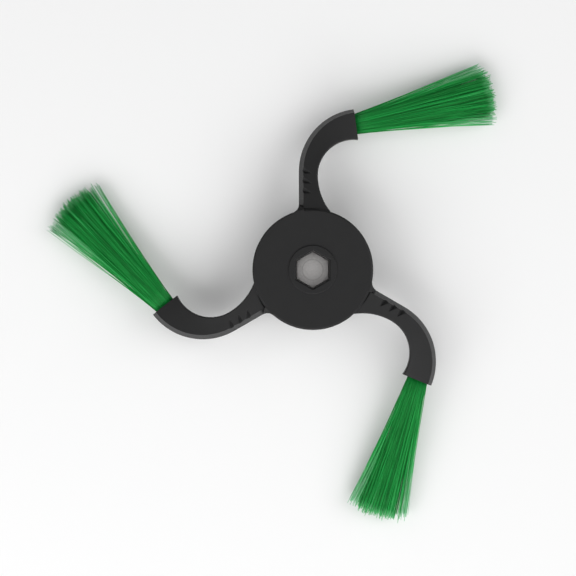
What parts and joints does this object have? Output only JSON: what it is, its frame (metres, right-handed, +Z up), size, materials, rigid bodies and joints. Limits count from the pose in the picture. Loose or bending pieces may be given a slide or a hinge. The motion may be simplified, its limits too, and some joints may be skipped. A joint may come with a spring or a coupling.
{
  "type": "robot vacuum side brush",
  "caption": "Sweeping side brush for a robot vacuum: a round hub with a hexagonal drive socket, and swept arms that each end in a fanned tuft of bristles.",
  "frame": {"origin": "on the spin axis, in the middle of the drive socket's mouth, level with the top of the ring round it", "axes": "+Z up along the spin axis and out of the socket; +Y along the root of the first arm, whose tuft points to +X"},
  "size_m": [0.1251, 0.1274, 0.0173],
  "materials": {
    "black_plastic": "black moulded plastic with a fine even grain and a slight sheen",
    "plate_steel": "pressed plain steel, dull grey, with a shallow turned dish",
    "green_nylon": "extruded nylon filaments, slightly clear, cut off straight"
  },
  "bodies": {
    "root": {"brush_body": "black_plastic", "steel_plate": "plate_steel", "bristle_tuft_1": "green_nylon", "bristle_tuft_2": "green_nylon", "bristle_tuft_3": "green_nylon"}
  },
  "joints": []
}
